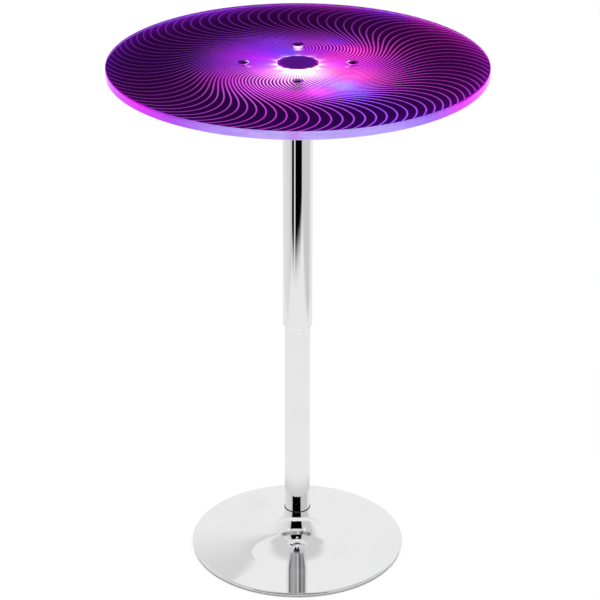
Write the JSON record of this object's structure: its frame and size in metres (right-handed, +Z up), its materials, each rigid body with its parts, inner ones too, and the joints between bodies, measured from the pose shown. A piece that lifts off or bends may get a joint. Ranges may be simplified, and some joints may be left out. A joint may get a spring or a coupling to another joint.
{
  "type": "light up led table",
  "caption": "Tall round pedestal table with a lit clear top, telescoping chrome gas lift column, release lever and weighted spun foot.",
  "frame": {"origin": "on the floor under the column's axis, centre of the foot", "axes": "+Z up; -Y is the side the picture was taken from; the release lever points between +X and +Y"},
  "size_m": [0.6, 0.6, 0.87],
  "materials": {
    "chrome": "bright chrome plate",
    "acrylic": "clear polished acrylic",
    "pattern": "dark violet film with lit wave lines",
    "cap": "dark tinted acrylic",
    "emitter": "lit diode package",
    "light_alloy": "turned aluminium",
    "black_rubber": "matt black rubber",
    "black_iron": "black painted casting",
    "black_steel": "black powder coat",
    "zinc_steel": "zinc plated steel",
    "ground_steel": "ground steel",
    "brass_valve": "turned brass",
    "nylon": "black nylon",
    "natural_nylon": "natural nylon",
    "black_plastic": "moulded, fine texture",
    "board": "circuit board",
    "cell": "shrink sleeve",
    "button": "grey push button",
    "lead": "black sheath",
    "foam": "foam tape"
  },
  "bodies": {
    "base": {"base_shell": "chrome", "base_weight": "black_iron", "floor_ring": "black_rubber", "shell_studs": "zinc_steel", "stud_nuts": "zinc_steel", "lower_column": "chrome", "column_foot": "zinc_steel", "column_washer": "zinc_steel", "column_nut": "zinc_steel", "neck_ring": "nylon", "column_bush": "nylon", "down_stop": "black_rubber", "thrust_race_lower": "ground_steel"},
    "spindle": {"thrust_balls": "ground_steel", "thrust_cage": "natural_nylon", "thrust_race_upper": "ground_steel", "piston_rod": "ground_steel", "piston": "brass_valve", "piston_seal": "black_rubber", "rod_washer": "zinc_steel", "rod_clip": "ground_steel"},
    "top": {"pressure_tube": "black_steel", "rod_gland": "natural_nylon", "gland_seal": "black_rubber", "valve_body": "brass_valve", "lift_hub": "black_steel", "mechanism_channel": "black_steel", "mount_plate": "black_steel", "weld_nuts": "zinc_steel", "sleeve": "chrome", "sleeve_guide": "natural_nylon", "top_pads": "black_rubber", "table_top": "acrylic", "pattern_film": "pattern", "table_screws": "black_steel", "screw_washers": "black_steel", "led_core": "light_alloy", "led_strip": "board", "led_emitters": "emitter", "led_cap": "cap", "core_screws": "zinc_steel", "core_terminal": "natural_nylon", "led_lead": "lead", "lead_grommets": "black_rubber", "box_tape": "foam", "control_box": "black_plastic", "control_cover": "black_plastic", "cover_screws": "zinc_steel", "control_board": "board", "mode_switch": "black_plastic", "dc_jack": "black_plastic", "battery_cells": "cell", "cell_contacts": "zinc_steel", "lever_pin": "zinc_steel", "pin_clips": "ground_steel"},
    "lever": {"lift_lever": "black_steel", "lever_grip": "black_plastic"},
    "valve": {"valve_pin": "ground_steel"},
    "button": {"mode_button": "button"}
  },
  "joints": [
    {"name": "table_swivel", "type": "hinge", "parent": "base", "child": "spindle", "pos_m": [0, 0, 0.04], "axis": [0, 0, 1], "continuous": true},
    {"name": "height_lift", "type": "slide", "parent": "spindle", "child": "top", "axis": [0, 0, 1], "range_m": [-0.21, 0]},
    {"name": "lever_lift", "type": "hinge", "parent": "top", "child": "lever", "pos_m": [0.02404, 0.02404, 0.8412], "axis": [0.7071, -0.7071, 0], "range_deg": [0, 6.5], "stiffness_Nm_per_rad": 1.5, "springref_deg": -5.73},
    {"name": "valve_press", "type": "slide", "parent": "top", "child": "valve", "axis": [0, 0, 1], "range_m": [-0.004, 0]},
    {"name": "mode_press", "type": "slide", "parent": "top", "child": "button", "axis": [0, 0, 1], "range_m": [0, 0.0015], "stiffness_N_per_m": 400}
  ],
  "couplings": [
    {"joint": "valve_press", "follows": "lever_lift", "m_per_rad": -0.034}
  ]
}
